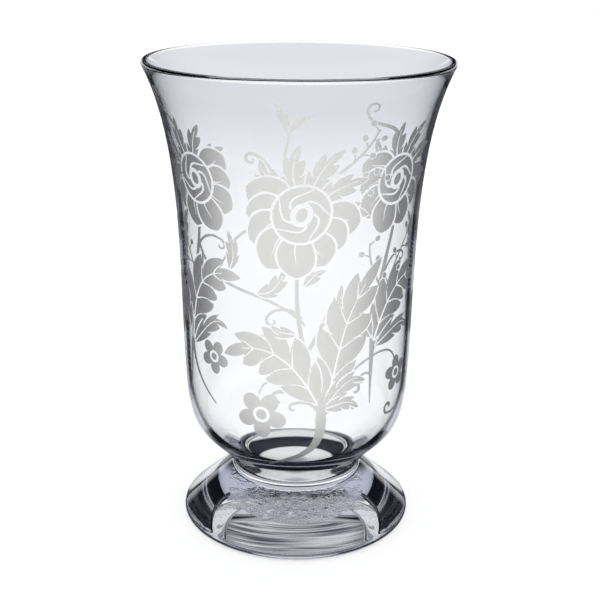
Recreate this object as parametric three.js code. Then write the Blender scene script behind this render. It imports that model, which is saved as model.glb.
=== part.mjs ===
// Hurricane lamp in clear glass: a bell-shaped bowl, joined by a collar to a solid foot.
// Millimetres, +Z up, with the origin on the table under the middle of the foot.
// Each gather of glass is a solid of revolution, turned from an outline of lines, arcs and curves.

import * as THREE from 'three';

// Foot: a solid cone with a rolled edge and a flat polished base
const FOOT_HEIGHT = 29.5; // table to the face that carries the collar
const FOOT_RADIUS = 70;
const FOOT_EDGE_ROUND = 3;
const FOOT_LEDGE = 0.8; // how far the foot's top face runs out past the collar
const SHOULDER_TOP_ANGLE = 36; // degrees below level where the shoulder leaves the collar
const SHOULDER_TOP_REACH = 13;
const SHOULDER_EDGE_ANGLE = 42; // degrees below level where the shoulder meets the rolled edge
const SHOULDER_EDGE_REACH = 12;

// Collar: the thin disc between foot and bowl
const COLLAR_HEIGHT = 1.8;
const COLLAR_FOOT_RADIUS = 39.2;
const COLLAR_BOWL_RADIUS = 39;
const COLLAR_BULGE = 0.5; // how far its side swells past a straight taper

// Bowl: a short neck, a round base, a nearly straight belly and a flared rim
const BOWL_HEIGHT = 248.7;
const NECK_RADIUS = 38.8;
const NECK_REACH = 3.4; // pull of the neck's curve, straight up
const NECK_REACH_UP = 2; // pull of the neck's curve where it runs into the base
const BASE_RADIUS = 40.8;
const BASE_HEIGHT = 6.6; // above the collar
const BASE_ANGLE = 54.5; // degrees above level where the wall leaves the neck
const BASE_REACH = 27.5;
const BELLY_RADIUS = 67.3;
const BELLY_HEIGHT = 61.2; // above the collar
const BELLY_ANGLE = 87.6;
const BELLY_REACH_DOWN = 39;
const BELLY_REACH_UP = 63;
const RIM_RADIUS = 88;
const RIM_ANGLE = 64.3;
const RIM_REACH = 51.5;
const RIM_BEAD_RADIUS = 1.8; // half the thickness of the fire-polished rim
const RIM_BEAD_START = 0.9; // share of the upper wall that keeps the plain wall thickness

// Inside of the bowl
const WALL = 3;
const FLOOR_THICKNESS = 2;
const FLOOR_RADIUS = 31.4; // flat seat for the candle
const FLOOR_ROUND = 1.8;
const FLOOR_ANGLE = 66; // degrees above level where the inner wall leaves the floor
const FLOOR_REACH = 28.5;
const HEEL_REACH = 44.3; // pull of the inner wall above the floor

// Facets
const TURN_SEGMENTS = 60;
const CURVE_SEGMENTS = 12;
const BEAD_SEGMENTS = 6;
const ROUND_SEGMENTS = 3;

// Glass
const GLASS_TINT = 0xeef1f6;
const GLASS_ROUGHNESS = 0.03;
const GLASS_OPACITY = 0.35;

const radians = THREE.MathUtils.degToRad;

// A point of an outline: its distance from the axis and its height.
function at(radius, height) {
  return new THREE.Vector2(radius, height);
}

// The step of a given length in a direction given in degrees above level, away from the axis.
function step(length, degrees) {
  const angle = radians(degrees);
  return at(length * Math.cos(angle), length * Math.sin(angle));
}

// A smooth curve that leaves one point by one step and arrives at the other by a second step.
function sweep(start, leave, arrive, end) {
  return new THREE.CubicBezierCurve(start, start.clone().add(leave), end.clone().sub(arrive), end);
}

// An arc about a centre, between two angles in degrees; it runs clockwise if the second is smaller.
function arc(centre, radius, from, to) {
  const clockwise = to < from;
  return new THREE.EllipseCurve(centre.x, centre.y, radius, radius, radians(from), radians(to), clockwise);
}

// Turns an outline that starts and ends on the axis into a named solid.
function turn(name, outline) {
  const geometry = new THREE.LatheGeometry(outline, TURN_SEGMENTS);
  geometry.rotateX(Math.PI / 2);
  const glass = new THREE.MeshStandardMaterial({
    color: GLASS_TINT,
    roughness: GLASS_ROUGHNESS,
    metalness: 0,
    transparent: true,
    opacity: GLASS_OPACITY,
  });
  const mesh = new THREE.Mesh(geometry, glass);
  mesh.name = name;
  return mesh;
}

// The flat base, the rolled edge, the shoulder and the seat of the collar.
function footOutline() {
  const edge = at(FOOT_RADIUS - FOOT_EDGE_ROUND, FOOT_EDGE_ROUND);
  const shoulderNormal = 90 - SHOULDER_EDGE_ANGLE;
  const shoulderEnd = edge.clone().add(step(FOOT_EDGE_ROUND, shoulderNormal));
  const seat = at(COLLAR_FOOT_RADIUS + FOOT_LEDGE, FOOT_HEIGHT);
  const shoulder = sweep(
    shoulderEnd,
    step(SHOULDER_EDGE_REACH, 180 - SHOULDER_EDGE_ANGLE),
    step(SHOULDER_TOP_REACH, 180 - SHOULDER_TOP_ANGLE),
    seat,
  );
  return [
    at(0, 0),
    ...arc(edge, FOOT_EDGE_ROUND, -90, shoulderNormal).getPoints(BEAD_SEGMENTS),
    ...shoulder.getPoints(CURVE_SEGMENTS).slice(1),
    at(0, FOOT_HEIGHT),
  ];
}

// A disc whose side swells a little between foot and bowl.
function collarOutline() {
  const bottom = FOOT_HEIGHT;
  const top = bottom + COLLAR_HEIGHT;
  const foot = at(COLLAR_FOOT_RADIUS, bottom);
  const bowl = at(COLLAR_BOWL_RADIUS, top);
  const swell = foot.clone().lerp(bowl, 0.5).add(at(2 * COLLAR_BULGE, 0));
  const side = new THREE.QuadraticBezierCurve(foot, swell, bowl);
  return [at(0, bottom), ...side.getPoints(BEAD_SEGMENTS), at(0, top)];
}

// The wall thickness at a share of the way up from belly to rim: plain, then swelling to the bead.
function wallThickness(share) {
  return THREE.MathUtils.lerp(WALL, 2 * RIM_BEAD_RADIUS, THREE.MathUtils.smoothstep(share, RIM_BEAD_START, 1));
}

// The inside of the upper wall, from the rim down: the outer curve set in by the wall's thickness.
function innerWall(outer) {
  const points = [];
  for (let i = CURVE_SEGMENTS; i >= 0; i -= 1) {
    const share = i / CURVE_SEGMENTS;
    const along = outer.getTangent(share);
    const inward = at(-along.y, along.x);
    points.push(outer.getPoint(share).addScaledVector(inward, wallThickness(share)));
  }
  return points;
}

// The neck, the outer wall, the rim's bead, the inner wall and the floor.
function bowlOutline() {
  const bottom = FOOT_HEIGHT + COLLAR_HEIGHT;
  const top = bottom + BOWL_HEIGHT;
  const floor = bottom + FLOOR_THICKNESS;

  const base = at(BASE_RADIUS, bottom + BASE_HEIGHT);
  const neck = sweep(at(NECK_RADIUS, bottom), step(NECK_REACH, 90), step(NECK_REACH_UP, BASE_ANGLE), base);

  const belly = at(BELLY_RADIUS, bottom + BELLY_HEIGHT);
  const bead = at(RIM_RADIUS - RIM_BEAD_RADIUS, top - RIM_BEAD_RADIUS);
  const rim = bead.clone().add(step(RIM_BEAD_RADIUS, RIM_ANGLE - 90));
  const lower = sweep(base, step(BASE_REACH, BASE_ANGLE), step(BELLY_REACH_DOWN, BELLY_ANGLE), belly);
  const upper = sweep(belly, step(BELLY_REACH_UP, BELLY_ANGLE), step(RIM_REACH, RIM_ANGLE), rim);

  const inner = innerWall(upper);
  const round = arc(at(FLOOR_RADIUS, floor + FLOOR_ROUND), FLOOR_ROUND, FLOOR_ANGLE - 90, -90);
  const heel = sweep(
    inner.at(-1),
    step(HEEL_REACH, BELLY_ANGLE + 180),
    step(FLOOR_REACH, FLOOR_ANGLE + 180),
    round.getPoint(0),
  );
  return [
    at(0, bottom),
    ...neck.getPoints(ROUND_SEGMENTS),
    ...lower.getPoints(CURVE_SEGMENTS).slice(1),
    ...upper.getPoints(CURVE_SEGMENTS).slice(1),
    ...arc(bead, RIM_BEAD_RADIUS, RIM_ANGLE - 90, RIM_ANGLE + 90).getPoints(BEAD_SEGMENTS).slice(1),
    ...inner.slice(1),
    ...heel.getPoints(CURVE_SEGMENTS).slice(1),
    ...round.getPoints(ROUND_SEGMENTS).slice(1),
    at(0, floor),
  ];
}

const lamp = new THREE.Group();
lamp.add(turn('foot', footOutline()));
lamp.add(turn('collar', collarOutline()));
lamp.add(turn('bowl', bowlOutline()));

export default lamp;
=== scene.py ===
"""A hurricane lamp of clear glass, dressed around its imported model.

The three gathers of glass are turned again from fine outlines, so that light bends
through them smoothly. Lengths are in metres and angles in degrees.
"""

from __future__ import annotations

import logging
import math
from collections.abc import Sequence
from dataclasses import dataclass

import bmesh
import bpy
from mathutils import Matrix, Vector
from mathutils.geometry import delaunay_2d_cdt, interpolate_bezier

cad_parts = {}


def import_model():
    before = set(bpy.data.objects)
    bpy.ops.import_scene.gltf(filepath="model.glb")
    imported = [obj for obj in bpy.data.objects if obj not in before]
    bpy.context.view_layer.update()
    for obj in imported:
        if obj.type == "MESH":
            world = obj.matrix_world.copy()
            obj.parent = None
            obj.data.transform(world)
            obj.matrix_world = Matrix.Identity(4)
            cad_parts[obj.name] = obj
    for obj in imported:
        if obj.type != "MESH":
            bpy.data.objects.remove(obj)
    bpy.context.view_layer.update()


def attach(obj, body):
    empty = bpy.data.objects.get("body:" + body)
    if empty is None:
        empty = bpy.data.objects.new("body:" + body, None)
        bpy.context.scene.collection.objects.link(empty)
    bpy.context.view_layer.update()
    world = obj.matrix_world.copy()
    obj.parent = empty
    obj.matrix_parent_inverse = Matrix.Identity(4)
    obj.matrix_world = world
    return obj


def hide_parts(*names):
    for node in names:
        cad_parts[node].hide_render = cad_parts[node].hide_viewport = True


MM = 0.001
BODY = "root"

log = logging.getLogger("hurricane_lamp")

Point = Vector
Line = list[Point]
Mark = tuple[float, float, float]
Colour = tuple[float, float, float]

BLACK: Colour = (0.0, 0.0, 0.0)
DARK: Colour = (0.006, 0.007, 0.012)
WHITE: Colour = (1.0, 1.0, 1.0)


# Outlines


def step(length: float, degrees: float) -> Point:
    """Return the step of a length in a direction, in degrees above level, away from the axis."""
    angle = math.radians(degrees)
    return Vector((length * math.cos(angle), length * math.sin(angle)))


def arc(centre: Point, radius: float, start: float, end: float, steps: int) -> Line:
    """Return points along an arc.

    Args:
        centre: The middle of the arc.
        radius: Its radius.
        start: The angle of its first point, in degrees above level.
        end: The angle of its last point.
        steps: How many chords it has.

    Returns:
        The points, both ends among them.
    """
    return [centre + step(radius, start + (end - start) * i / steps) for i in range(steps + 1)]


def sweep(start: Point, leave: Point, arrive: Point, end: Point, steps: int) -> Line:
    """Return points along a smooth curve that leaves by one step and arrives by another.

    Args:
        start: The first point.
        leave: The step by which the curve leaves it.
        arrive: The step by which it arrives at the end.
        end: The last point.
        steps: How many chords it has.

    Returns:
        The points, both ends among them.
    """
    return interpolate_bezier(start, start + leave, end - arrive, end, steps + 1)


def set_in(points: Line, depths: Sequence[float]) -> Line:
    """Return an outline moved to its left by a depth of its own at each point.

    Args:
        points: The outline.
        depths: How far each point moves.

    Returns:
        The moved points, in the same order.
    """
    moved = []
    for i, point in enumerate(points):
        along = (points[min(i + 1, len(points) - 1)] - points[max(i - 1, 0)]).normalized()
        moved.append(point + depths[i] * Vector((-along.y, along.x)))
    return moved


def ease(share: float, low: float, high: float) -> float:
    """Return a share eased from 0 at low to 1 at high."""
    t = min(max((share - low) / (high - low), 0.0), 1.0)
    return t * t * (3 - 2 * t)


def object_from(name: str, bm: bmesh.types.BMesh) -> bpy.types.Object:
    """Return a new linked object with a bmesh as its mesh, and free the bmesh.

    Args:
        name: The name of the object and its mesh.
        bm: The finished bmesh.

    Returns:
        The object.
    """
    mesh = bpy.data.meshes.new(name)
    bm.to_mesh(mesh)
    bm.free()
    made = bpy.data.objects.new(name, mesh)
    bpy.context.scene.collection.objects.link(made)
    return made


# Shader expressions


class Value:
    """A shader value that takes part in Python arithmetic by adding Math nodes."""

    def __init__(self, graph: Graph, socket: bpy.types.NodeSocket) -> None:
        """Wrap an output socket of a graph."""
        self.graph = graph
        self.socket = socket

    def maths(self, operation: str, *others: Operand, clamp: bool = False) -> Value:
        """Return the result of one Math operation on this value.

        Args:
            operation: The Math node's operation.
            others: The other operands.
            clamp: Whether the result stays from 0 to 1.

        Returns:
            The new value.
        """
        settings = {"operation": operation, "use_clamp": clamp}
        return self.graph.value("ShaderNodeMath", 0, settings, dict(enumerate((self, *others))))

    def __add__(self, other: Operand) -> Value:
        """Return the sum."""
        return self.maths("ADD", other)

    def __sub__(self, other: Operand) -> Value:
        """Return the difference."""
        return self.maths("SUBTRACT", other)

    def __rsub__(self, other: float) -> Value:
        """Return a number less this value."""
        return (self * -1) + other

    def __mul__(self, other: Operand) -> Value:
        """Return the product."""
        return self.maths("MULTIPLY", other)

    def __truediv__(self, other: Operand) -> Value:
        """Return the quotient."""
        return self.maths("DIVIDE", other)

    __radd__ = __add__
    __rmul__ = __mul__

    def clamped(self) -> Value:
        """Return this value kept from 0 to 1."""
        return self.maths("ADD", 0.0, clamp=True)

    def eased(self, low: float, high: float) -> Value:
        """Return a smooth step of this value, from 0 at low to 1 at high."""
        inputs = {"Value": self, "From Min": low, "From Max": high, "To Min": 0.0, "To Max": 1.0}
        return self.graph.value("ShaderNodeMapRange", 0, {"interpolation_type": "SMOOTHSTEP"}, inputs)


Operand = Value | float


class Graph:
    """The node tree of one material or world."""

    def __init__(self, tree: bpy.types.NodeTree) -> None:
        """Start an empty tree."""
        self.tree = tree
        tree.nodes.clear()

    def node(
        self, kind: str, settings: dict | None = None, inputs: dict | None = None
    ) -> bpy.types.Node:
        """Add a node.

        Args:
            kind: The node's type.
            settings: Its own properties. The key stops gives a ramp's positions and colours.
            inputs: Values or links for its sockets, by name or number.

        Returns:
            The new node.
        """
        made = self.tree.nodes.new(kind)
        for name, setting in (settings or {}).items():
            if name == "stops":
                self._fill_ramp(made.color_ramp, setting)
            else:
                setattr(made, name, setting)
        for key, wanted in (inputs or {}).items():
            self._feed(made.inputs[key], wanted)
        return made

    def _feed(self, socket: bpy.types.NodeSocket, wanted: object) -> None:
        """Link something to an input, or set the input's own value.

        Args:
            socket: The input.
            wanted: The value, node or socket to link, or the number or colour to set.
        """
        if isinstance(wanted, bpy.types.Node):
            wanted = wanted.outputs[0]
        if isinstance(wanted, Value):
            wanted = wanted.socket
        if isinstance(wanted, bpy.types.NodeSocket):
            self.tree.links.new(wanted, socket)
        elif isinstance(wanted, tuple) and socket.type == "RGBA":
            socket.default_value = (*wanted, 1.0)
        else:
            socket.default_value = wanted

    def _fill_ramp(self, ramp: bpy.types.ColorRamp, stops: Sequence[tuple[float, Colour]]) -> None:
        """Give a ramp its positions and colours.

        Args:
            ramp: The ramp.
            stops: Its positions from 0 to 1, each with its colour.
        """
        while len(ramp.elements) < len(stops):
            ramp.elements.new(1.0)
        for element, (position, colour) in zip(ramp.elements, stops, strict=True):
            element.position = position
            element.color = (*colour, 1.0)

    def value(
        self, kind: str, output: str | int, settings: dict | None = None, inputs: dict | None = None
    ) -> Value:
        """Add a node and return one of its outputs as a value."""
        return Value(self, self.node(kind, settings, inputs).outputs[output])

    def parts(self, vector: Value) -> list[Value]:
        """Return the three parts of a vector."""
        made = self.node("ShaderNodeSeparateXYZ", inputs={0: vector})
        return [Value(self, output) for output in made.outputs]

    def blend(self, share: Operand, low: object, high: object) -> bpy.types.NodeSocket:
        """Return a colour between two colours."""
        made = self.node("ShaderNodeMix", {"data_type": "RGBA"}, {0: share, 6: low, 7: high})
        return made.outputs[2]


def material_with(name: str) -> tuple[bpy.types.Material, Graph]:
    """Return a new material and its bare graph.

    Args:
        name: The material's name.

    Returns:
        The material and the graph.
    """
    made = bpy.data.materials.new(name)
    made.use_nodes = True
    return made, Graph(made.node_tree)


# Finishes


@dataclass(frozen=True)
class ClearGlass:
    """Polished soda glass, a little blue where it is thick."""

    name: str
    tint: Colour = (0.97, 0.975, 0.985)
    roughness: float = 0.0
    ior: float = 1.5
    shade: Colour = (0.93, 0.935, 0.945)
    ripple: float = 0.0
    ripple_count: float = 150.0
    ripple_detail: float = 3.0
    ripple_roughness: float = 0.55
    ripple_distortion: float = 1.2

    def material(self) -> bpy.types.Material:
        """Return the finish as a material.

        Returns:
            The material.
        """
        made, graph = material_with(self.name)
        inputs = {
            "Base Color": self.tint,
            "Roughness": self.roughness,
            "IOR": self.ior,
            "Transmission Weight": 1.0,
        }
        if self.ripple:
            noise = {
                "Vector": graph.value("ShaderNodeTexCoord", "Object"),
                "Scale": self.ripple_count,
                "Detail": self.ripple_detail,
                "Roughness": self.ripple_roughness,
                "Distortion": self.ripple_distortion,
            }
            waves = graph.node("ShaderNodeTexNoise", inputs=noise)
            bump = {"Height": waves, "Distance": self.ripple, "Strength": 1.0}
            inputs["Normal"] = graph.node("ShaderNodeBump", inputs=bump)
        glass = graph.node("ShaderNodeBsdfPrincipled", inputs=inputs)
        shade = graph.node("ShaderNodeBsdfTransparent", inputs={"Color": self.shade})
        shadow = graph.value("ShaderNodeLightPath", "Is Shadow Ray")
        mixed = graph.node("ShaderNodeMixShader", inputs={0: shadow, 1: glass, 2: shade})
        graph.node("ShaderNodeOutputMaterial", inputs={"Surface": mixed})
        return made


@dataclass(frozen=True)
class HotJoint:
    """The faces where two gathers run into one, which don't show."""

    name: str = "hot_joint"

    def material(self) -> bpy.types.Material:
        """Return the finish as a material.

        Returns:
            The material.
        """
        made, graph = material_with(self.name)
        clear = graph.node("ShaderNodeBsdfTransparent", inputs={"Color": WHITE})
        graph.node("ShaderNodeOutputMaterial", inputs={"Surface": clear})
        return made


@dataclass(frozen=True)
class Frost:
    """Ground glass: a soft grey that lets some of the view through, with painted shade that makes it
    darker low down and where it is seen edge-on at the sides.
    """

    name: str = "frosted_glass"
    tone: Colour = (0.78, 0.78, 0.76)
    # Painted shade where the frost is seen edge-on, at the sides of the bowl
    edge_painted_shade: Colour = (0.14, 0.14, 0.15)
    edge_start: float = 0.06
    edge_end: float = 0.53
    # Painted shade low down on the bowl
    low_painted_shade: Colour = (0.3, 0.3, 0.3)
    low_start: float = 50.0 * MM
    low_end: float = 100.0 * MM
    cover: float = 0.68
    roughness: float = 0.9
    shine: float = 0.1

    def material(self) -> bpy.types.Material:
        """Return the finish as a material.

        Returns:
            The material.
        """
        made, graph = material_with(self.name)
        facing = graph.value("ShaderNodeLayerWeight", "Facing", inputs={"Blend": 0.5})
        _, _, height = graph.parts(graph.value("ShaderNodeTexCoord", "Object"))
        # Painted shade: darker towards the bottom, and darker again where the frost is seen edge-on
        tone = graph.blend(height.eased(self.low_start, self.low_end), self.low_painted_shade, self.tone)
        tone = graph.blend(facing.eased(self.edge_start, self.edge_end), tone, self.edge_painted_shade)
        inputs = {
            "Base Color": tone,
            "Roughness": self.roughness,
            "Specular IOR Level": self.shine,
            "Alpha": self.cover,
        }
        ground = graph.node("ShaderNodeBsdfPrincipled", inputs=inputs)
        graph.node("ShaderNodeOutputMaterial", inputs={"Surface": ground})
        return made


# Glass


# Chords round the axis, along a curve, round a bead and round a small corner
TURN_STEPS = 180
CURVE_STEPS = 36
BEAD_STEPS = 16
ROUND_STEPS = 6

# The angle past which an edge is sharp, and the distance within which corners are one
CREASE = 35.0
MERGE = 0.001 * MM


def turn(name: str, outline: Line, joints: Line) -> bpy.types.Object:
    """Spin an outline that starts and ends on the axis into a closed solid.

    Args:
        name: The piece's name.
        outline: Points of radius and height.
        joints: The outer ends of the level faces that are joined hot.

    Returns:
        The new object, whose second material slot is for the joints.
    """
    bm = bmesh.new()
    verts = [bm.verts.new((point.x, 0.0, point.y)) for point in outline]
    edges = [bm.edges.new(pair) for pair in zip(verts, verts[1:])]
    bmesh.ops.spin(
        bm,
        geom=verts + edges,
        cent=(0, 0, 0),
        axis=(0, 0, 1),
        dvec=(0, 0, 0),
        angle=math.tau,
        steps=TURN_STEPS,
        use_merge=True,
    )
    bmesh.ops.remove_doubles(bm, verts=bm.verts, dist=MERGE)
    bmesh.ops.recalc_face_normals(bm, faces=bm.faces)
    for face in bm.faces:
        face.smooth = True
        reach = max(math.hypot(*vert.co.xy) for vert in face.verts)
        for joint in joints:
            level = max(abs(vert.co.z - joint.y) for vert in face.verts) < MERGE
            if level and reach < joint.x + MERGE:
                face.material_index = 1
    made = object_from(name, bm)
    made.data.set_sharp_from_angle(angle=math.radians(CREASE))
    return made


@dataclass
class Foot:
    """The solid cone that the lamp stands on, with a rolled edge and a flat polished base."""

    height: float = 29.5 * MM
    radius: float = 70.0 * MM
    edge_round: float = 3.0 * MM
    seat_radius: float = 40.0 * MM
    joint_radius: float = 39.2 * MM
    worked_radius: float = 34.0 * MM
    top_angle: float = 36.0
    top_reach: float = 13.0 * MM
    edge_angle: float = 42.0
    edge_reach: float = 12.0 * MM

    def outline(self) -> Line:
        """Return the outline.

        Returns:
            The points, from the middle of the base to the middle of the collar's seat.
        """
        edge = Vector((self.radius - self.edge_round, self.edge_round))
        shoulder_end = edge + step(self.edge_round, 90 - self.edge_angle)
        shoulder = sweep(
            shoulder_end,
            step(self.edge_reach, 180 - self.edge_angle),
            step(self.top_reach, 180 - self.top_angle),
            Vector((self.seat_radius, self.height)),
            CURVE_STEPS,
        )
        return [
            Vector((0.0, 0.0)),
            Vector((self.worked_radius, 0.0)),
            *arc(edge, self.edge_round, -90, 90 - self.edge_angle, BEAD_STEPS),
            *shoulder[1:],
            Vector((self.joint_radius, self.height)),
            Vector((0.0, self.height)),
        ]

    def build(self) -> bpy.types.Object:
        """Return the foot's glass.

        Returns:
            The object, whose third material slot is for the worked middle of its base.
        """
        made = turn("glass_foot", self.outline(), [Vector((self.joint_radius, self.height))])
        reach = self.worked_radius + MERGE
        for face in made.data.polygons:
            corners = [made.data.vertices[i].co for i in face.vertices]
            if all(corner.z == 0 and corner.xy.length < reach for corner in corners):
                face.material_index = 2
        return made


@dataclass
class Collar:
    """The thin disc between foot and bowl."""

    bottom: float = 29.5 * MM
    height: float = 1.8 * MM
    foot_radius: float = 39.2 * MM
    bowl_radius: float = 39.0 * MM
    bulge: float = 0.5 * MM
    joint_radius: float = 38.8 * MM

    def outline(self) -> Line:
        """Return the outline.

        Returns:
            The points, from the middle of its lower face to the middle of its upper one.
        """
        top = self.bottom + self.height
        foot = Vector((self.foot_radius, self.bottom))
        bowl = Vector((self.bowl_radius, top))
        swell = foot.lerp(bowl, 0.5) + Vector((2 * self.bulge, 0.0))
        pulls = [end.lerp(swell, 2 / 3) for end in (foot, bowl)]
        side = interpolate_bezier(foot, *pulls, bowl, BEAD_STEPS)
        return [Vector((0.0, self.bottom)), *side, Vector((self.joint_radius, top)), Vector((0.0, top))]

    def build(self) -> bpy.types.Object:
        """Return the collar's glass."""
        upper = Vector((self.joint_radius, self.bottom + self.height))
        return turn("glass_collar", self.outline(), [Vector((self.foot_radius, self.bottom)), upper])


@dataclass
class Bowl:
    """The bell: a short neck, a nearly straight belly and a flared, fire-polished rim."""

    bottom: float = 31.3 * MM
    height: float = 248.7 * MM
    neck_radius: float = 38.8 * MM
    neck_reach: float = 3.4 * MM
    neck_reach_up: float = 2.0 * MM
    base_radius: float = 40.8 * MM
    base_height: float = 6.6 * MM
    base_angle: float = 54.5
    base_reach: float = 27.5 * MM
    belly_radius: float = 67.3 * MM
    belly_height: float = 61.2 * MM
    belly_angle: float = 87.6
    belly_reach_down: float = 39.0 * MM
    belly_reach_up: float = 63.0 * MM
    rim_radius: float = 88.0 * MM
    rim_angle: float = 64.3
    rim_reach: float = 51.5 * MM
    bead_radius: float = 1.8 * MM
    bead_start: float = 0.9
    wall: float = 3.0 * MM
    floor_thickness: float = 2.0 * MM
    floor_radius: float = 31.4 * MM
    floor_round: float = 1.8 * MM
    floor_angle: float = 66.0
    floor_reach: float = 28.5 * MM
    heel_reach: float = 44.3 * MM

    def outer_wall(self) -> tuple[Line, Line]:
        """Return the outside of the bowl above its neck.

        Returns:
            The lower and the upper stretch, from the base up.
        """
        belly = Vector((self.belly_radius, self.bottom + self.belly_height))
        rim = self.bead() + step(self.bead_radius, self.rim_angle - 90)
        lower = sweep(
            self.base(),
            step(self.base_reach, self.base_angle),
            step(self.belly_reach_down, self.belly_angle),
            belly,
            CURVE_STEPS,
        )
        upper = sweep(
            belly,
            step(self.belly_reach_up, self.belly_angle),
            step(self.rim_reach, self.rim_angle),
            rim,
            CURVE_STEPS,
        )
        return lower, upper

    def base(self) -> Point:
        """Return the point where the neck runs into the wall."""
        return Vector((self.base_radius, self.bottom + self.base_height))

    def bead(self) -> Point:
        """Return the middle of the rim's bead."""
        height = self.bottom + self.height - self.bead_radius
        return Vector((self.rim_radius - self.bead_radius, height))

    def outline(self) -> Line:
        """Return the outline.

        Returns:
            The points, from the middle of the base round the rim to the middle of the floor.
        """
        floor = self.bottom + self.floor_thickness
        neck = sweep(
            Vector((self.neck_radius, self.bottom)),
            step(self.neck_reach, 90),
            step(self.neck_reach_up, self.base_angle),
            self.base(),
            ROUND_STEPS,
        )
        lower, upper = self.outer_wall()
        swell = 2 * self.bead_radius - self.wall
        shares = [i / CURVE_STEPS for i in range(CURVE_STEPS + 1)]
        depths = [self.wall + swell * ease(share, self.bead_start, 1.0) for share in shares]
        inner = set_in(upper, depths)[::-1]
        corner = Vector((self.floor_radius, floor + self.floor_round))
        rounded = arc(corner, self.floor_round, self.floor_angle - 90, -90, ROUND_STEPS)
        lip = arc(self.bead(), self.bead_radius, self.rim_angle - 90, self.rim_angle + 90, BEAD_STEPS)
        heel = sweep(
            inner[-1],
            step(self.heel_reach, self.belly_angle + 180),
            step(self.floor_reach, self.floor_angle + 180),
            rounded[0],
            CURVE_STEPS,
        )
        return [
            Vector((0.0, self.bottom)),
            *neck,
            *lower[1:],
            *upper[1:],
            *lip[1:],
            *inner[1:],
            *heel[1:],
            *rounded[1:],
            Vector((0.0, floor)),
        ]

    def build(self) -> bpy.types.Object:
        """Return the bowl's glass."""
        return turn("glass_bowl", self.outline(), [Vector((self.neck_radius, self.bottom))])


# Frosted drawing, laid flat: millimetres round the wall from its front, and height above the table


# The distance within which two points of the drawing are one
SAME_SPOT = 1e-4


def place(x: float, z: float) -> Point:
    """Return a place on the flat drawing."""
    return Vector((x, z))


def heading_of(start: Point, end: Point) -> float:
    """Return the heading from one place to another, in degrees anticlockwise from rightwards."""
    return math.degrees(math.atan2(end.y - start.y, end.x - start.x))


def way(
    start: Point, leave: float, end: Point, arrive: float, pull: float = 0.4, steps: int = 24
) -> Line:
    """Return a smooth line between two places.

    Args:
        start: The first place.
        leave: Its heading there.
        end: The last place.
        arrive: Its heading there.
        pull: How far each end holds its heading, as a share of the distance.
        steps: How many chords it has.

    Returns:
        The points of the line.
    """
    reach = pull * (end - start).length
    return sweep(start, step(reach, leave), step(reach, arrive), end, steps)


def rolled(line: Line, radius: float, turns: float, steps: int = 20, tighter: float = 0.7) -> Line:
    """Return a line whose end rolls up.

    Args:
        line: The line before its roll.
        radius: The radius at which the roll starts, negative where it turns rightwards.
        turns: How many turns it makes.
        steps: How many chords the roll has.
        tighter: The share of its radius that the roll loses.

    Returns:
        The points of the line and its roll.
    """
    heading = heading_of(line[-2], line[-1])
    points = list(line)
    turn_angle = math.copysign(360 * turns / steps, radius)
    for i in range(steps):
        tight = 1 - tighter * i / steps
        heading += turn_angle / 2
        points.append(points[-1] + step(math.tau * abs(radius) * tight * turns / steps, heading))
        heading += turn_angle / 2
    return points


def stroke(line: Line, start_width: float, end_width: float, cap_steps: int = 6) -> Line:
    """Return the closed outline of a drawn line that tapers evenly and has round ends.

    Args:
        line: The middle of the stroke.
        start_width: Its width at the line's start.
        end_width: Its width at the line's end.
        cap_steps: How many chords each round end has.

    Returns:
        The points of the outline.
    """
    last = len(line) - 1
    halves = [(start_width + (end_width - start_width) * i / last) / 2 for i in range(last + 1)]
    left = set_in(line, halves)
    right = set_in(line, [-half for half in halves])
    ends = []
    for tip, side in ((line[-1], right[-1]), (line[0], left[0])):
        start = heading_of(tip, side)
        ends.append(arc(tip, (side - tip).length, start, start + 180, cap_steps)[1:-1])
    return [*right, *ends[0], *left[::-1], *ends[1]]


def oval(centre: Point, length: float, width: float, heading: float = 0.0, steps: int = 24) -> Line:
    """Return the closed outline of an ellipse.

    Args:
        centre: Its middle.
        length: Its full length.
        width: Its full width.
        heading: The heading of its length.
        steps: How many chords it has.

    Returns:
        The points of the outline.
    """
    along = step(length / 2, heading)
    across = step(width / 2, heading + 90)
    turns = [math.tau * i / steps for i in range(steps)]
    return [centre + math.cos(angle) * along + math.sin(angle) * across for angle in turns]


class Stencil:
    """The outlines of the drawing in the order they are laid, each frosted or kept clear."""

    def __init__(self) -> None:
        """Start a bare drawing."""
        self.outlines: list[Line] = []
        self.motifs: list[str] = []

    def lay(self, motif: str, outline: Line) -> None:
        """Lay a closed outline over the drawing, turned anticlockwise.

        Args:
            motif: The name of the motif that it frosts, or nothing where it keeps the glass clear.
            outline: The outline.
        """
        after = [*outline[1:], outline[0]]
        pairs = zip(outline, after, strict=True)
        area = sum(here.x * there.y - there.x * here.y for here, there in pairs)
        self.outlines.append(outline if area > 0 else outline[::-1])
        self.motifs.append(motif)

    def triangles(self, grid: float) -> dict[str, list[tuple[Point, ...]]]:
        """Return the frosted triangles of each motif.

        Args:
            grid: The spacing of the lines that cut the drawing, so that it can follow the wall.

        Returns:
            The triangles, by the name of the motif that lies on top there.
        """
        coords = [point for outline in self.outlines for point in outline]
        faces = []
        first = 0
        for outline in self.outlines:
            faces.append(list(range(first, first + len(outline))))
            first += len(outline)
        edges = []
        lows = [min(point[axis] for point in coords) - grid for axis in (0, 1)]
        highs = [max(point[axis] for point in coords) + grid for axis in (0, 1)]
        for axis in (0, 1):
            for i in range(math.ceil((highs[axis] - lows[axis]) / grid)):
                for end in (lows, highs):
                    corner = Vector(end)
                    corner[axis] = lows[axis] + i * grid
                    coords.append(corner)
                edges.append((len(coords) - 2, len(coords) - 1))
        verts, _, made, _, _, origins = delaunay_2d_cdt(coords, edges, faces, 0, SAME_SPOT, True)
        found: dict[str, list[tuple[Point, ...]]] = {}
        for corners, layers in zip(made, origins, strict=True):
            motif = self.motifs[max(layers)] if layers else ""
            if motif:
                found.setdefault(motif, []).append(tuple(verts[i] for i in corners))
        return found


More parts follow.
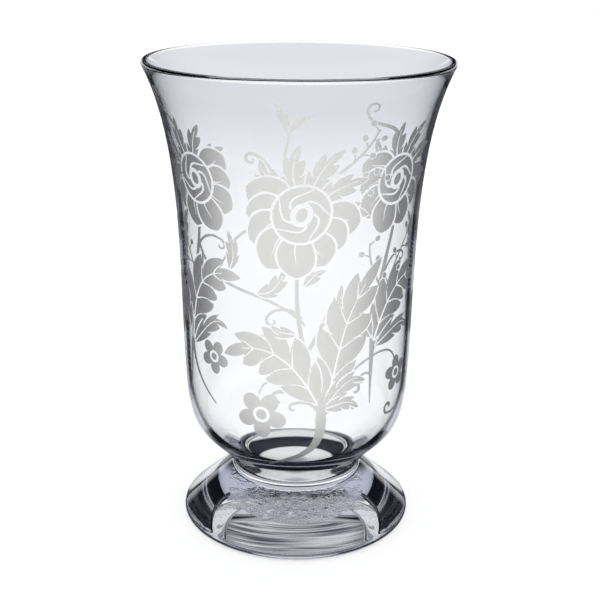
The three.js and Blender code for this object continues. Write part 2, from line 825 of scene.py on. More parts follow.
@dataclass
class Motif:
    """One named motif of the drawing, whose parts run between marks: a place and a heading there.

    On side -1 every mark and every roll is mirrored to the left.
    """

    stencil: Stencil
    name: str
    side: int = 1

    def frost(self, outline: Line) -> None:
        """Lay a frosted outline."""
        self.stencil.lay(self.name, outline)

    def clear(self, outline: Line) -> None:
        """Lay an outline that is kept clear."""
        self.stencil.lay("", outline)

    def _way(self, start: Mark, end: Mark, pull: float, steps: int = 24) -> Line:
        """Return a smooth line between two marks, on this motif's side.

        Args:
            start: The first mark.
            end: The last mark.
            pull: How far each end holds its heading, as a share of the distance.
            steps: How many chords it has.

        Returns:
            The points of the line.
        """
        places = [place(self.side * x, z) for x, z, _ in (start, end)]
        headings = [heading if self.side > 0 else 180 - heading for _, _, heading in (start, end)]
        return way(places[0], headings[0], places[1], headings[1], pull, steps)

    def stem(
        self,
        start: Mark,
        end: Mark,
        start_width: float,
        end_width: float,
        pull: float = 0.4,
        steps: int = 24,
    ) -> None:
        """Lay a stem that tapers from one mark to the other."""
        self.frost(stroke(self._way(start, end, pull, steps), start_width, end_width))

    def curl(
        self,
        start: Mark,
        end: Mark,
        radius: float,
        turns: float,
        start_width: float,
        end_width: float,
        pull: float = 0.4,
    ) -> None:
        """Lay a stem whose end rolls up past the second mark, leftwards for a positive radius."""
        line = rolled(self._way(start, end, pull), self.side * radius, turns)
        self.frost(stroke(line, start_width, end_width))

    def leaf(
        self,
        start: Mark,
        end: Mark,
        half_width: float,
        lobes: int = 4,
        pull: float = 0.4,
        vein: float = 1.5,
    ) -> None:
        """Lay a lobed leaf from one mark to the other."""
        Leaf(self._way(start, end, pull), half_width, lobes, vein).draw(self)

    def spray(self, start: Mark, end: Mark, berries: int = 5) -> None:
        """Lay a spray of berries from one mark to the other."""
        Spray(self._way(start, end, 0.4), berries).draw(self)


@dataclass
class Leaf:
    """A lobed leaf on a bent midrib, with a clear vein and, on a leaf of many lobes, side veins."""

    rib: Line
    half_width: float
    lobes: int = 4
    vein: float = 1.5
    vein_end: float = 0.82
    veined_lobes: int = 5
    side_width: float = 0.9
    side_tip_width: float = 0.4
    side_start: float = 0.35
    side_bend: float = 0.35
    side_bend_out: float = 0.35
    side_end: float = 0.52
    side_end_out: float = 0.58
    side_fit: float = 0.45
    side_steps: int = 7
    gap: float = 0.9
    stalk: float = 0.6
    notch: float = 0.62
    notch_place: float = 0.12
    first_notch: float = 0.03
    widest: float = 0.6
    swell: float = 1.3
    lean: float = 0.34
    root_pull: float = 0.6
    tip_pull: float = 0.5
    lobe_steps: int = 6
    low_down: float = 0.8
    fullness: float = 0.75

    def _beside(self, share: float, out: float) -> Point:
        """Return a place beside the midrib.

        Args:
            share: The share of the midrib at which it lies.
            out: Its distance to the left of the midrib.

        Returns:
            The place.
        """
        spot = min(max(share, 0.0), 1.0) * (len(self.rib) - 1)
        low = min(int(spot), len(self.rib) - 2)
        along = self.rib[low + 1] - self.rib[low]
        left = Vector((-along.y, along.x)).normalized()
        return self.rib[low].lerp(self.rib[low + 1], spot - low) + out * left

    def _reach(self, share: float) -> float:
        """Return the half width of the whole leaf at a share of its midrib."""
        return self.half_width * math.sin(math.pi * min(share, 1.0) ** self.low_down) ** self.fullness

    def _edge(self, side: int, gap: float) -> Line:
        """Return one edge of the leaf.

        Args:
            side: 1 for the left edge, -1 for the right one.
            gap: How far the edge is moved outwards.

        Returns:
            The points of the edge, from its stalk to its tip.
        """
        points = [self._beside(0.0, side * (self.stalk + gap))]
        for lobe in range(self.lobes):
            low, high = lobe / self.lobes, (lobe + 1) / self.lobes
            inner = low + (self.notch_place / self.lobes if lobe else self.first_notch)
            root = self._beside(inner, side * ((1 - self.notch) * self._reach(inner) + gap))
            widest = low + self.widest / self.lobes
            swell = self._beside(widest, side * (self.swell * self._reach(widest) + gap))
            if lobe < self.lobes - 1:
                tip = self._beside(high + self.lean / self.lobes, side * (self._reach(high) + gap))
            else:
                tip = self.rib[-1] + gap * (self.rib[-1] - self.rib[-2]).normalized()
            pulls = root.lerp(swell, self.root_pull), tip.lerp(swell, self.tip_pull)
            points += interpolate_bezier(root, *pulls, tip, self.lobe_steps + 1)
        return points

    def outline(self, gap: float = 0.0) -> Line:
        """Return the closed outline, grown by a gap."""
        return [*self._edge(-1, gap), *self._edge(1, gap)[-2::-1]]

    def draw(self, motif: Motif) -> None:
        """Lay the leaf.

        Args:
            motif: The motif that it belongs to.
        """
        motif.clear(self.outline(self.gap))
        motif.frost(self.outline())
        if self.vein:
            end = round(self.vein_end * (len(self.rib) - 1))
            motif.clear(stroke(self.rib[: end + 1], self.vein, self.vein / 3))
            for lobe in range(1, self.lobes if self.lobes >= self.veined_lobes else 0):
                self._side_veins(motif, (lobe - self.side_start) / self.lobes)

    def _side_veins(self, motif: Motif, share: float) -> None:
        """Lay a clear vein to both sides of the midrib.

        Args:
            motif: The motif that the leaf belongs to.
            share: The share of the midrib at which the veins start.
        """
        start = self._beside(share, 0.0)
        bend_out = self.side_bend_out * self._reach(share)
        end_out = self.side_end_out * self._reach(share + self.side_fit / self.lobes)
        for side in (-1, 1):
            bend = self._beside(share + self.side_bend / self.lobes, side * bend_out)
            end = self._beside(share + self.side_end / self.lobes, side * end_out)
            line = interpolate_bezier(start, bend, bend, end, self.side_steps + 1)
            motif.clear(stroke(line, self.side_width, self.side_tip_width))


@dataclass
class Petal:
    """A broad petal with a softly pointed tip and a clear fold."""

    root: Point
    heading: float
    length: float
    width: float
    bluntness: float = 0.5
    bend: float = 0.0
    waist: float = 0.16
    leave_reach: float = 0.62
    leave_turn: float = 0.85
    arrive_turn: float = 76.0
    edge_steps: int = 14
    fold: float = 0.9
    fold_start: float = 0.2
    fold_end: float = 0.68
    fold_turn: float = 14.0

    def outline(self, gap: float = 0.0) -> Line:
        """Return the closed outline.

        Args:
            gap: How far it is grown.

        Returns:
            The points of the outline.
        """
        tip = self.root + step(self.length + gap, self.heading + self.bend)
        spread = math.degrees(self.width / self.length)
        edges = []
        for side in (-1, 1):
            start = self.root + step(self.width * self.waist + gap, self.heading + 90 * side)
            leaving = self.heading + side * spread * self.leave_turn
            leave = step(self.length * self.leave_reach + gap, leaving)
            arriving = self.heading + self.bend - side * self.arrive_turn
            arrive = step(self.width * self.bluntness + gap, arriving)
            edges.append(sweep(start, leave, arrive, tip, self.edge_steps))
        return [*edges[0], *edges[1][-2::-1]]

    def draw(self, motif: Motif, gap: float) -> None:
        """Lay the petal and its fold.

        Args:
            motif: The motif that it belongs to.
            gap: The width of the clear gap round it.
        """
        motif.clear(self.outline(gap))
        motif.frost(self.outline())
        start = self.root + step(self.length * self.fold_start, self.heading)
        end = self.root + step(self.length * self.fold_end, self.heading + 0.8 * self.bend)
        line = way(start, self.heading - self.fold_turn, end, self.heading + self.fold_turn, 0.4, 8)
        motif.clear(stroke(line, self.fold, self.fold / 3))


@dataclass
class Blossom:
    """A full blossom: a crest of slender leaves, a skirt of petals and a turned heart."""

    centre: Point
    size: float
    heading: float
    skirt: int = 7
    skirt_spread: float = 214.0
    petal_reach: float = 0.72
    petal_rise: float = 0.12
    petal_width: float = 0.7
    crest: int = 5
    crest_spread: float = 128.0
    crest_reach: float = 1.3
    crest_fall: float = 0.3
    crest_width: float = 0.19
    crest_root: float = 0.5
    crest_leave: float = 10.0
    crest_lean: float = -6.0
    crest_arrive: float = -30.0
    skirt_root: float = 0.62
    skirt_turns: float = 2.4
    petal_bend: float = 8.0
    petal_fan: float = 24.0
    heart_reach: float = 0.52
    heart_width: float = 1.84
    heart_rim: float = 1.8
    heart_lines: int = 5
    line_start: float = 0.98
    line_end: float = 0.42
    line_turn: float = 80.0
    line_leave: float = 150.0
    line_arrive: float = 215.0
    line_widths: tuple[float, float] = (0.6, 1.5)
    ring: tuple[float, float] = (0.86, 0.7)
    seed: tuple[float, float] = (0.5, 0.34)
    gap: float = 1.1

    def draw(self, motif: Motif) -> None:
        """Lay the blossom, its crest first.

        Args:
            motif: The motif that it makes.
        """
        heart = self.heart_reach * self.size
        for i in range(self.crest):
            turned = self.crest_spread * (i / (self.crest - 1) - 0.5)
            heading = self.heading - turned
            root = self.centre + step(self.crest_root * heart, heading)
            reach = self.crest_reach - self.crest_fall * abs(turned) / self.crest_spread
            tip = self.centre + step(self.size * reach, heading + self.crest_lean)
            rib = way(root, heading + self.crest_leave, tip, heading + self.crest_arrive)
            Leaf(rib, self.crest_width * self.size, 3, 1.0).draw(motif)
        for i in sorted(range(self.skirt), key=lambda i: -abs(i - (self.skirt - 1) / 2)):
            share = i / (self.skirt - 1) - 0.5
            heading = self.heading + 180 + self.skirt_spread * share
            root = self.centre + step(self.skirt_root * heart, heading)
            rise = math.cos(math.radians(self.skirt_turns * self.skirt_spread * share))
            length = self.size * (self.petal_reach + self.petal_rise * rise)
            bend = self.petal_bend - self.petal_fan * share
            Petal(root, heading, length, self.petal_width * self.size, bend=bend).draw(motif, self.gap)
        length, width, rim = 2 * heart, self.heart_width * heart, self.heart_rim * self.gap
        motif.clear(oval(self.centre, length + rim, width + rim, self.heading))
        motif.frost(oval(self.centre, length - self.gap, width - self.gap, self.heading))
        self._turned_heart(motif, heart)

    def _turned_heart(self, motif: Motif, heart: float) -> None:
        """Lay the clear lines of the heart, which wind about a seed, and the seed.

        Args:
            motif: The motif that the blossom makes.
            heart: The half length of the heart.
        """
        for i in range(self.heart_lines):
            heading = self.heading + 360 / self.heart_lines * i
            start = self.centre + step(self.line_start * heart, heading)
            end = self.centre + step(self.line_end * heart, heading + self.line_turn)
            line = way(start, heading + self.line_leave, end, heading + self.line_arrive, 0.42, 14)
            motif.clear(stroke(line, *self.line_widths))
        for (length, width), lay in ((self.ring, motif.clear), (self.seed, motif.frost)):
            lay(oval(self.centre, length * heart, width * heart, self.heading))


@dataclass
class Floret:
    """A small open flower of round petals about a dot."""

    centre: Point
    size: float
    heading: float
    petals: int = 5
    petal_place: float = 0.62
    petal_length: float = 0.86
    petal_width: float = 0.72
    eye: float = 0.72
    dot: float = 0.44

    def draw(self, motif: Motif) -> None:
        """Lay the flower.

        Args:
            motif: The motif that it makes.
        """
        length, width = self.petal_length * self.size, self.petal_width * self.size
        for i in range(self.petals):
            heading = self.heading + 360 / self.petals * (i + 0.5)
            middle = self.centre + step(self.petal_place * self.size, heading)
            motif.frost(oval(middle, length, width, heading))
        motif.clear(oval(self.centre, self.eye * self.size, self.eye * self.size))
        motif.frost(oval(self.centre, self.dot * self.size, self.dot * self.size))


@dataclass
class Spray:
    """A thin stalk with berries on short stems to both sides."""

    line: Line
    berries: int = 5
    berry: float = 3.6
    stem: float = 4.5
    stem_width: float = 0.8
    stem_angle: float = 52.0
    stem_bend: float = 18.0
    bare: float = 0.3
    roundness: float = 0.8
    width: float = 1.0

    def draw(self, motif: Motif) -> None:
        """Lay the spray.

        Args:
            motif: The motif that it belongs to.
        """
        motif.frost(stroke(self.line, 1.5 * self.width, self.width))
        for i in range(self.berries):
            share = self.bare + (1 - self.bare) * i / (self.berries - 1)
            spot = round(share * (len(self.line) - 2))
            here, there = self.line[spot], self.line[spot + 1]
            side = (-1) ** i
            heading = heading_of(here, there) + self.stem_angle * side
            bend = self.stem_bend * side
            end = here + step(self.stem, heading)
            line = way(here, heading - bend, end, heading + bend, 0.4, 6)
            motif.frost(stroke(line, self.stem_width, self.stem_width))
            centre = end + step(self.berry / 2, heading)
            width = self.roundness * self.berry
            motif.clear(oval(centre, self.berry + 1, width + 1, heading))
            motif.frost(oval(centre, self.berry, width, heading))


@dataclass
class Ornament:
    """The frosted garden round the front of the bowl: three blossoms over three leafy plants."""

    bowl: Bowl
    reference: float = 68.0
    grid: float = 2.5
    lift: float = 0.03 * MM
    thickness: float = 0.05 * MM
    weld: float = 0.002 * MM

    def drawing(self) -> Stencil:
        """Return the whole drawing, laid flat from the back to the front.

        Returns:
            The stencil with every outline.
        """
        stencil = Stencil()
        self._side_plant(Motif(stencil, "frost_side_plant_left", -1))
        self._side_plant(Motif(stencil, "frost_side_plant_right"))
        self._left_plant(stencil)
        self._right_plant(stencil)
        self._middle_plant(stencil)
        return stencil

    def _side_plant(self, plant: Motif) -> None:
        """Lay the plant that closes the drawing on one side.

        Args:
            plant: Its motif.
        """
        plant.stem((88, 96, 70), (99, 214, 100), 1.2, 2.4, 0.45, 40)
        plant.curl((99, 214, 100), (94, 238, 120), -4.5, 0.9, 2.2, 0.9)
        plant.leaf((93, 120, 80), (112, 160, 40), 9.5)
        plant.leaf((97, 158, 60), (118, 190, 30), 9)
        plant.leaf((98, 176, 120), (86, 196, 150), 5, 3)
        plant.spray((99, 196, 60), (114, 222, 80))

    def _left_plant(self, stencil: Stencil) -> None:
        """Lay the left plant, its floret and its blossom.

        Args:
            stencil: The drawing.
        """
        plant = Motif(stencil, "frost_left_plant")
        plant.stem((-51, 91, 142), (-72, 126, 92), 1.0, 3.4)
        plant.stem((-82, 82, 68), (-73, 124, 84), 0.8, 2.6)
        plant.stem((-72, 124, 92), (-58, 200, 84), 3.4, 2.2, steps=32)
        plant.stem((-60, 186, -70), (4, 146, -50), 2.0, 1.4, 0.42, 40)
        plant.stem((-47, 171, 50), (-24, 199, 25), 1.0, 1.6)
        plant.curl((-57, 180, -100), (-54, 163, -40), 3.6, 0.85, 1.8, 1.0)
        plant.curl((-69, 140, 70), (-56, 151, -20), -3.4, 0.7, 1.9, 0.9)
        plant.leaf((-71, 126, 84), (-31, 170, -12), 14.0, 5, 0.48)
        plant.curl((-60, 184, 60), (-42, 190, -30), -3.0, 0.7, 1.7, 1.0)
        plant.leaf((-74, 130, 112), (-98, 160, 158), 9)
        plant.leaf((-70, 123, 40), (-40, 139, -50), 5, 3, vein=0.8)
        plant.leaf((-22, 163, -10), (-6, 178, 70), 4.5, 3, vein=0.8)
        plant.leaf((-38, 174, 60), (-38, 196, 110), 4.0, 3, vein=0.8)
        plant.spray((-78, 134, 118), (-84, 178, 80))
        plant.spray((-63, 160, 108), (-77, 196, 100), 4)
        Floret(place(-51, 120), 10.0, 96.0).draw(Motif(stencil, "frost_left_floret"))
        Blossom(place(-58, 222), 26.0, 112.0).draw(Motif(stencil, "frost_left_blossom"))
        plant.curl((-66, 246, 120), (-84, 262, 130), -4.0, 0.9, 1.8, 0.9)

    def _right_plant(self, stencil: Stencil) -> None:
        """Lay the right plant, its floret and its blossom.

        Args:
            stencil: The drawing.
        """
        plant = Motif(stencil, "frost_right_plant")
        plant.stem((45, 94, 92), (45, 136, 88), 0.8, 4.2)
        plant.stem((45, 134, 88), (56, 196, 78), 4.0, 2.2, steps=32)
        plant.curl((80, 124, -100), (62, 82, 170), -4.0, 0.75, 0.9, 2.2)
        plant.curl((44, 124, 60), (57, 134, -50), -3.4, 0.7, 2.2, 1.0)
        plant.curl((44, 112, 140), (37, 111, -120), 2.2, 0.5, 1.4, 1.6)
        plant.leaf((46, 132, 72), (87, 160, -34), 13.5, 5, 0.48)
        plant.curl((52, 172, 60), (66, 180, -20), -3.0, 0.7, 1.7, 1.0)
        plant.leaf((47, 128, 30), (79, 131, -60), 6, 3, vein=0.9)
        plant.leaf((44, 134, 122), (26, 148, 205), 6, 3, vein=0.9)
        plant.spray((50, 150, 72), (72, 190, 50))
        plant.spray((50, 160, 112), (40, 189, 88), 4)
        Floret(place(68, 106), 10.5, 60.0).draw(Motif(stencil, "frost_right_floret"))
        Blossom(place(55, 223), 26.0, 68.0).draw(Motif(stencil, "frost_right_blossom"))
        plant.curl((50, 248, 120), (30, 262, 110), -3.6, 0.9, 2.0, 0.9)

    def _middle_plant(self, stencil: Stencil) -> None:
        """Lay the middle plant, its two great leaves, its floret and the great blossom.

        Args:
            stencil: The drawing.
        """
        plant = Motif(stencil, "frost_middle_plant")
        plant.stem((14, 100, 110), (0, 178, 88), 3.0, 2.0, steps=32)
        plant.curl((13, 97, 140), (-10, 106, 190), 4.6, 0.6, 2.6, 1.6)
        plant.stem((13, 98, 130), (-21, 104, -105), 1.8, 1.0, 0.5)
        plant.stem((15, 98, 62), (66, 114, -72), 1.8, 1.1, 0.42)
        plant.curl((16, 97, 58), (34, 108, -10), -3.6, 0.55, 2.6, 1.8)
        plant.curl((15, 92, 40), (25, 97, 10), 3.0, 0.35, 3.0, 1.4)
        plant.curl((7, 132, 60), (30, 157, -5), -4.4, 0.8, 2.2, 1.4)
        plant.leaf((14, 147, 50), (24, 168, 100), 3.6, 2, vein=0.8)
        plant.curl((2, 150, 120), (-16, 150, -120), 3.4, 0.7, 1.8, 1.2)
        plant.spray((11, 112, 115), (-16, 141, 150))
        for x, z, heading, radius in (
            (5, 111, 165, 3.0),
            (24, 112, 20, -3.0),
            (-2, 99, 200, 2.6),
            (33, 97, -15, -2.6),
        ):
            plant.curl((14, z - 14, 90), (x, z, heading), radius, 0.6, 2.4, 1.1, 0.5)
        Motif(stencil, "frost_right_leaf").leaf((17, 99, 76), (49, 180, 50), 14.5, 5, 0.45)
        Motif(stencil, "frost_left_leaf").leaf((12, 98, 116), (-43, 124, 212), 15.0, 5, 0.5)
        plant.leaf((15, 95, 50), (41, 109, -34), 5.5, 3, 0.45, 0.9)
        plant.leaf((15, 95, 12), (37, 93, -50), 4.5, 3, 0.45, 0.9)
        for x, z, heading in ((3, 168, 35), (0, 140, 160)):
            end = place(x, z) + step(15, heading)
            Leaf(way(place(x, z), heading, end, heading - 40), 3.4, 2, 0.8).draw(plant)
        plant.stem((-18, 56, 24), (14, 90, 93), 1.4, 6.4, 0.5, 32)
        plant.stem((14, 88, 92), (14.5, 104, 92), 6.4, 3.4)
        Floret(place(-20, 91), 14.0, 92.0).draw(Motif(stencil, "frost_middle_floret"))
        plant.curl((-10, 226, 120), (-20, 240, 150), 3.4, 0.85, 2.6, 1.2)
        plant.stem((-6, 228, 100), (-4, 252, 84), 1.6, 1.2)
        plant.leaf((-4, 251, 100), (-10, 268, 130), 2.2, 2, vein=0.0)
        plant.leaf((-4, 252, 70), (7, 262, 20), 2.0, 2, vein=0.0)
        plant.spray((20, 230, 40), (38, 252, 70))
        plant.spray((24, 222, 20), (42, 226, 50), 4)
        Blossom(place(2, 208), 31.0, 66.0, 8).draw(Motif(stencil, "frost_middle_blossom"))

    def _bent(self, profile: Line, spot: Point) -> Vector:
        """Return a place of the drawing bent onto the outside of the bowl.

        Args:
            profile: The outside of the bowl, from the base up.
            spot: The place on the flat drawing.

        Returns:
            The point, just clear of the glass.
        """
        height = spot.y * MM
        above = next(i for i, point in enumerate(profile) if point.y >= height)
        low, high = profile[above - 1], profile[above]
        on_wall = low.lerp(high, (height - low.y) / (high.y - low.y))
        out = (high - low).normalized()
        on_wall = on_wall + (self.lift + self.thickness) * Vector((out.y, -out.x))
        azimuth = spot.x / self.reference
        return Vector((on_wall.x * math.sin(azimuth), -on_wall.x * math.cos(azimuth), on_wall.y))

    def build(self) -> list[bpy.types.Object]:
        """Return the ornament's sheets.

        Returns:
            One thin closed sheet for each motif.
        """
        lower, upper = self.bowl.outer_wall()
        profile = [*lower, *upper[1:]]
        sheets = []
        for motif, triangles in self.drawing().triangles(self.grid).items():
            bm = bmesh.new()
            for corners in triangles:
                bm.faces.new([bm.verts.new(self._bent(profile, corner)) for corner in corners])
            bmesh.ops.remove_doubles(bm, verts=bm.verts, dist=self.weld)
            bmesh.ops.dissolve_degenerate(bm, edges=bm.edges, dist=MERGE)
            bmesh.ops.solidify(bm, geom=bm.faces[:], thickness=self.thickness)
            bmesh.ops.recalc_face_normals(bm, faces=bm.faces)
            sheets.append(object_from(motif, bm))
        return sheets


# Studio


@dataclass(frozen=True)
class Sight:
    """What a ray has met on its way, as shader values."""

    seen: Value
    lit: Value
    inside: Value
    mirrors: Value

    @classmethod
    def of(cls, graph: Graph) -> Sight:
        """Return the sight of a graph.

        Args:
            graph: The graph of a stage material or of the world.

        Returns:
            Whether the ray comes straight from the camera, lights a matt surface or has been inside
            the glass, and how many mirrors it has met.
        """
        paths = graph.node("ShaderNodeLightPath")
        return cls(
            seen=Value(graph, paths.outputs["Is Camera Ray"]),
            lit=Value(graph, paths.outputs["Diffuse Depth"]).clamped(),
            inside=Value(graph, paths.outputs["Transmission Depth"]).clamped(),
            mirrors=Value(graph, paths.outputs["Glossy Depth"]),
        )

    def graded(self, graph: Graph, direct: object, tones: dict[int, object]) -> bpy.types.NodeSocket:
        """Return the tone that a ray meets, by the mirrors on its way.

        Args:
            graph: The graph of a stage material or of the world.
            direct: The tone with no mirror on the way.
            tones: The tone past each number of mirrors, from the fewest to the most.

        Returns:
            The colour.
        """
        met = direct
        for count, tone in tones.items():
            met = graph.blend(self.mirrors.maths("GREATER_THAN", count + 0.5), met, tone)
        return met


@dataclass
class Studio:
    """The plain pale table, the soft light and the camera."""

    floor_radius: float = 3.0
    floor_gap: float = 0.2 * MM
    camera_place: tuple[float, float, float] = (0.0016, -0.642, 0.3592)
    camera_pitch: float = 19.12
    camera_roll: float = 0.48
    focal_length: float = 67.98
    sensor: float = 36.0
    clip_start: float = 0.01
    bounces: int = 20
    mirror_bounces: int = 128
    nearest: float = 0.01

    # Plain light, for matt surfaces, and the table as it lies there
    ambient: Colour = (0.95, 0.95, 0.95)
    table: Colour = (0.86, 0.86, 0.86)
    table_glow: float = 0.3
    table_roughness: float = 0.9

    # The table as the glass bends the view to it: painted light that glows brighter than white near the
    # lamp, and rings of painted shadow under the foot
    near_tone: Colour = (1.2, 1.2, 1.2)
    far_tone: Colour = (0.84, 0.845, 0.875)
    far_start: float = 0.45
    far_end: float = 1.6
    painted_shadow_rings: tuple[tuple[float, Colour], ...] = (
        (0.004, (0.45, 0.45, 0.49)),
        (0.011, WHITE),
        (0.026, WHITE),
        (0.028, DARK),
        (0.045, DARK),
        (0.048, WHITE),
    )
    foot_edge: float = 0.069

    # The lit sweep behind the lamp, past one mirror: painted light, with painted shade round it
    dark: Colour = DARK
    sweep_tone: Colour = (0.8, 0.82, 0.88)
    sweep_half_width: float = 0.07
    sweep_narrow: float = 0.35
    sweep_wide: float = 0.6
    sweep_from: float = 0.02
    sweep_to: float = 0.1
    sweep_near: float = 0.35
    sweep_far: float = 0.9
    sweep_fade: float = 0.97

    # The table past two and three mirrors: painted light, and painted streaks of light and shade
    lit_from: float = 0.05
    lit_to: float = 0.07
    twice_tone: Colour = (0.6, 0.61, 0.68)
    streak_low: Colour = (0.08, 0.08, 0.11)
    streak_high: Colour = (0.68, 0.68, 0.74)
    streak_width: float = 0.014
    wave_low: float = -0.6
    wave_high: float = 0.8

    # The surroundings as the glass bends the view to them: painted surroundings, a pale horizon under a
    # ceiling of painted shade
    horizon: Colour = (0.84, 0.845, 0.875)
    ceiling: Colour = (0.1, 0.11, 0.14)
    ceiling_low: float = 0.25
    ceiling_high: float = 0.75

    # Past one mirror: a painted glow to both sides inside the glass, and a painted band that its outside
    # mirrors
    glow_tone: Colour = (1.6, 1.6, 1.65)
    glow_low: float = 0.04
    glow_high: float = 0.15
    glow_narrow: float = 0.12
    glow_wide: float = 0.35
    base_tone: Colour = (0.55, 0.57, 0.68)
    base_low: float = 0.45
    base_high: float = 0.6

    # Past three mirrors: painted level streaks of light and shade before and behind
    streak_count: float = 260.0
    streak_length: float = 3.0
    streak_detail: float = 2.0
    noise_low: float = 0.32
    noise_high: float = 0.68
    streak_narrow: float = 0.25
    streak_wide: float = 0.5

    # Past many mirrors: painted shade and painted light
    deep_tone: Colour = (0.3, 0.3, 0.36)
    trapped_tone: Colour = (0.8, 0.81, 0.86)
    trapped_from: int = 12
    guided_tone: Colour = (0.3, 0.31, 0.35)
    guided_from: int = 48

    def camera(self) -> None:
        """Set the camera at the photograph's viewpoint."""
        data = bpy.data.cameras.new("camera")
        data.lens = self.focal_length
        data.sensor_width = self.sensor
        data.sensor_fit = "HORIZONTAL"
        data.clip_start = self.clip_start
        made = bpy.data.objects.new("camera", data)
        tilt = Matrix.Rotation(math.radians(90 - self.camera_pitch), 4, "X")
        roll = Matrix.Rotation(math.radians(self.camera_roll), 4, "Z")
        made.matrix_world = Matrix.Translation(self.camera_place) @ tilt @ roll
        bpy.context.scene.collection.objects.link(made)
        bpy.context.scene.camera = made

    def floor(self) -> None:
        """Lay the pale table top, a hair below the base so that the glass keeps its air gap."""
        bm = bmesh.new()
        bmesh.ops.create_circle(bm, cap_ends=True, radius=self.floor_radius, segments=96)
        bmesh.ops.translate(bm, verts=bm.verts, vec=(0.0, 0.0, -self.floor_gap))
        made = object_from("floor", bm)
        made.data.materials.append(self.floor_material())

    def floor_material(self) -> bpy.types.Material:
        """Return the table's finish: white to the camera, and painted with light and shade where the
        glass bends the view to it.

        Returns:
            The material.
        """
        made, graph = material_with("table")
        sight = Sight.of(graph)
        spot = graph.value("ShaderNodeTexCoord", "Object")
        away = graph.value("ShaderNodeVectorMath", "Value", {"operation": "LENGTH"}, {0: spot})
        # Painted light near the lamp, and painted shadow in rings under the foot, where no mirror turns
        # the view
        field = graph.blend(away.eased(self.far_start, self.far_end), self.near_tone, self.far_tone)
        direct = graph.blend(away.maths("GREATER_THAN", self.foot_edge), self.under(graph, away), field)
        _, back, _ = graph.parts(spot)
        lit = back.eased(self.lit_from, self.lit_to)
        waves = (away * (math.tau / self.streak_width)).maths("SINE")
        waves = waves.eased(self.wave_low, self.wave_high)
        streaks = graph.blend(waves, self.streak_low, self.streak_high)
        # Painted light and shade that the glass's mirrors show: the lit sweep, the lit table, streaks
        # and dark
        tones = {
            0: self.behind(graph, spot, away),
            1: graph.blend(lit, self.dark, self.twice_tone),
            2: graph.blend(lit, self.dark, streaks),
            3: self.dark,
            self.guided_from: self.guided_tone,
        }
        met = sight.graded(graph, direct, tones)
        plain = sight.seen.maths("MAXIMUM", sight.lit)
        inputs = {
            "Base Color": graph.blend(plain, BLACK, self.table),
            "Roughness": self.table_roughness,
            "Specular IOR Level": 0.0,
            "Emission Color": graph.blend(plain, met, (self.table_glow,) * 3),
            "Emission Strength": 1.0,
        }
        surface = graph.node("ShaderNodeBsdfPrincipled", inputs=inputs)
        graph.node("ShaderNodeOutputMaterial", inputs={"Surface": surface})
        return made

    def under(self, graph: Graph, away: Value) -> bpy.types.Node:
        """Return the tone of the table under the foot, in rings of painted shadow that the seat and the
        neck show.
        """
        stops = [(reach / self.foot_edge, tone) for reach, tone in self.painted_shadow_rings]
        return graph.node("ShaderNodeValToRGB", {"stops": stops}, {0: away / self.foot_edge})

    def behind(self, graph: Graph, spot: Value, away: Value) -> bpy.types.NodeSocket:
        """Return the painted light of a lit sweep behind the lamp, as one mirror in the glass shows it.

        Args:
            graph: The table's graph.
            spot: The place on the table.
            away: Its distance from the lamp.

        Returns:
            The colour: painted light in a wedge behind the lamp, and painted shade elsewhere.
        """
        across, back, _ = graph.parts(spot)
        beside = across.maths("ABSOLUTE") - self.sweep_half_width
        spread = beside / back.maths("MAXIMUM", self.nearest)
        narrow = 1 - spread.eased(self.sweep_narrow, self.sweep_wide)
        wedge = back.eased(self.sweep_from, self.sweep_to) * narrow
        near = 1 - self.sweep_fade * away.eased(self.sweep_near, self.sweep_far)
        return graph.blend(wedge * near, self.dark, self.sweep_tone)

    def light(self) -> None:
        """Set the soft light all round, the painted glow, streaks and shade that the glass mirrors, and
        how far rays run.
        """
        world = bpy.data.worlds.new("studio")
        bpy.context.scene.world = world
        world.use_nodes = True
        graph = Graph(world.node_tree)
        sight = Sight.of(graph)
        across, ahead, up = graph.parts(graph.value("ShaderNodeTexCoord", "Generated"))
        # Painted surroundings that only the glass shows: a pale horizon under a dark ceiling
        direct = graph.blend(up.eased(self.ceiling_low, self.ceiling_high), self.horizon, self.ceiling)
        spread = across.maths("ABSOLUTE") / ahead.maths("ABSOLUTE").maths("MAXIMUM", self.nearest)
        sideways = spread.eased(self.glow_narrow, self.glow_wide)
        glow = sideways * (1 - up.eased(self.glow_low, self.glow_high))
        outside = graph.blend(glow, self.dark, self.glow_tone)
        once = graph.blend(up.eased(self.base_low, self.base_high), self.base_tone, self.dark)
        middle = 1 - spread.eased(self.streak_narrow, self.streak_wide)
        drawn = {"X": across * self.streak_length, "Z": up * self.streak_count}
        stretched = graph.node("ShaderNodeCombineXYZ", inputs=drawn)
        noise = {"Vector": stretched, "Scale": 1.0, "Detail": self.streak_detail}
        waves = graph.value("ShaderNodeTexNoise", "Fac", inputs=noise)
        waves = waves.eased(self.noise_low, self.noise_high)
        streaks = graph.blend(waves, self.streak_low, self.streak_high)
        # Painted light and shade by the mirrors a ray has met: glow and band, dark, streaks and greys
        tones = {
            0: graph.blend(sight.inside, outside, once),
            1: self.dark,
            2: graph.blend(middle, self.dark, streaks),
            3: self.dark,
            4: self.deep_tone,
            self.trapped_from: self.trapped_tone,
            self.guided_from: self.guided_tone,
        }
        met = graph.blend(sight.lit, sight.graded(graph, direct, tones), self.ambient)
        colour = graph.blend(sight.seen, met, WHITE)
        background = graph.node("ShaderNodeBackground", inputs={"Color": colour, "Strength": 1.0})
        graph.node("ShaderNodeOutputWorld", inputs={"Surface": background})
        bpy.context.scene.view_settings.view_transform = "Standard"
        cycles = bpy.context.scene.cycles
        cycles.max_bounces = self.mirror_bounces
        cycles.transmission_bounces = self.bounces
        cycles.glossy_bounces = self.mirror_bounces
        cycles.transparent_max_bounces = self.bounces


# Assembly


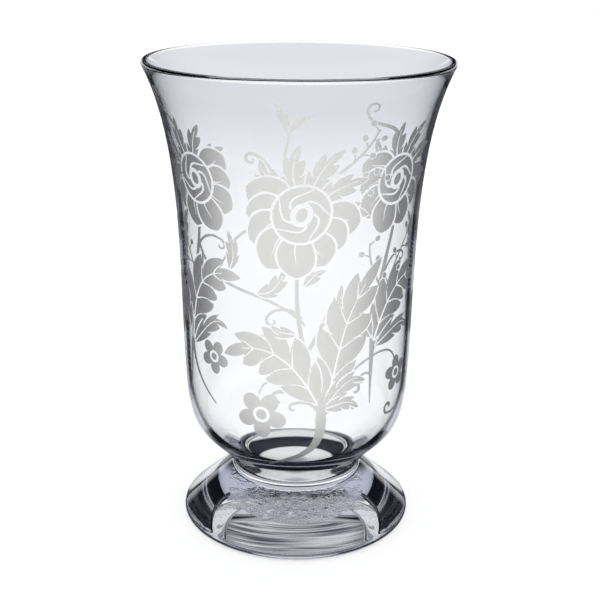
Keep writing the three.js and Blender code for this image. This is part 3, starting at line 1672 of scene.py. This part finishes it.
def dress(piece: bpy.types.Object, slot: str, *finishes: bpy.types.Material) -> None:
    """Give a piece its materials and its body.

    Args:
        piece: The piece.
        slot: The record's material slot. Not used.
        finishes: One finish for each of the piece's material slots.
    """
    for finish in finishes:
        piece.data.materials.append(finish)
    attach(piece, BODY)
    log.info("%s: %d faces", piece.name, len(piece.data.polygons))


def main() -> None:
    """Build the lamp and its studio."""
    logging.basicConfig(level=logging.INFO, format="%(message)s")
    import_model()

    studio = Studio()
    studio.camera()
    studio.floor()
    studio.light()

    joint = HotJoint().material()
    worked = ClearGlass("worked_base", ripple=0.2 * MM).material()
    bowl = Bowl()
    parts = ((Foot(), "foot", [worked]), (Collar(), "collar", []), (bowl, "bowl", []))
    for part, node, more in parts:
        piece = part.build()
        dress(piece, f"{node}_glass", ClearGlass(f"clear_{node}").material(), joint, *more)
        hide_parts(node)

    frost = Frost().material()
    for sheet in Ornament(bowl).build():
        dress(sheet, "bowl_glass", frost)


if __name__ == "__main__":
    main()
